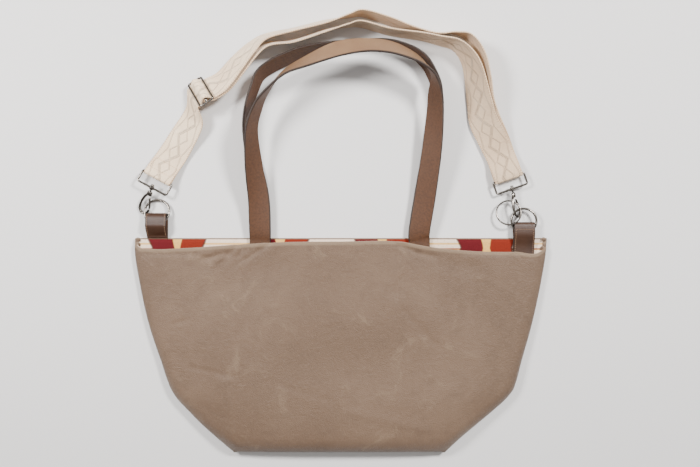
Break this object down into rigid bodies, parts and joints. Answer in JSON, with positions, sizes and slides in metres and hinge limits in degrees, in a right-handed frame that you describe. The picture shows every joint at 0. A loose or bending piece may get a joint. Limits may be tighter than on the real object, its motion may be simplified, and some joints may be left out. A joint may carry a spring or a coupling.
{
  "type": "tote bag",
  "caption": "Wide leather tote bag lying on its back, with curved strap handles, end tabs with rings, and a webbing shoulder strap on swivel hooks.",
  "frame": {"origin": "on the flat outer face of the back wall, where the bag rests, midway along the base and about half way up the body", "axes": "+X along the mouth to the right, +Y from the base to the handles, +Z out of the front wall"},
  "size_m": [0.4918, 0.5199, 0.0578],
  "materials": {
    "body_leather": "fine grain, satin",
    "lining": "printed, matt",
    "handle_leather": "smooth, satin",
    "tab_leather": "smooth, satin",
    "webbing": "jacquard weave, matt",
    "steel": "polished"
  },
  "bodies": {
    "bag": {"front_panel": "body_leather", "back_panel": "body_leather", "front_lining": "lining", "back_lining": "lining", "front_handle": "handle_leather", "back_handle": "handle_leather", "left_tab": "tab_leather", "right_tab": "tab_leather", "left_ring": "steel", "right_ring": "steel", "key_ring": "steel", "left_loop": "steel", "right_loop": "steel", "slider": "steel", "strap_outer": "webbing", "strap_inner": "webbing"},
    "left_hook": {"left_hook": "steel"},
    "left_gate": {"left_gate": "steel"},
    "right_hook": {"right_hook": "steel"},
    "right_gate": {"right_gate": "steel"}
  },
  "joints": [
    {"name": "left_swivel", "type": "hinge", "parent": "bag", "child": "left_hook", "pos_m": [-0.22456, 0.19151, 0.01153], "axis": [-0.4078, -0.8667, -0.2874], "range_deg": [-4, 10]},
    {"name": "left_gate_hinge", "type": "hinge", "parent": "left_hook", "child": "left_gate", "pos_m": [-0.22803, 0.1798, 0.00816], "axis": [-0.2348, -0.2046, 0.9503], "range_deg": [-3, 0], "stiffness_Nm_per_rad": 0.01},
    {"name": "right_swivel", "type": "hinge", "parent": "bag", "child": "right_hook", "pos_m": [0.20323, 0.19032, 0.00753], "axis": [0.2215, -0.9751, -0.0087], "range_deg": [-34, 4]},
    {"name": "right_gate_hinge", "type": "hinge", "parent": "right_hook", "child": "right_gate", "pos_m": [0.20731, 0.17841, 0.00614], "axis": [0.6751, 0.1469, 0.7229], "range_deg": [-1.5, 0], "stiffness_Nm_per_rad": 0.01}
  ]
}
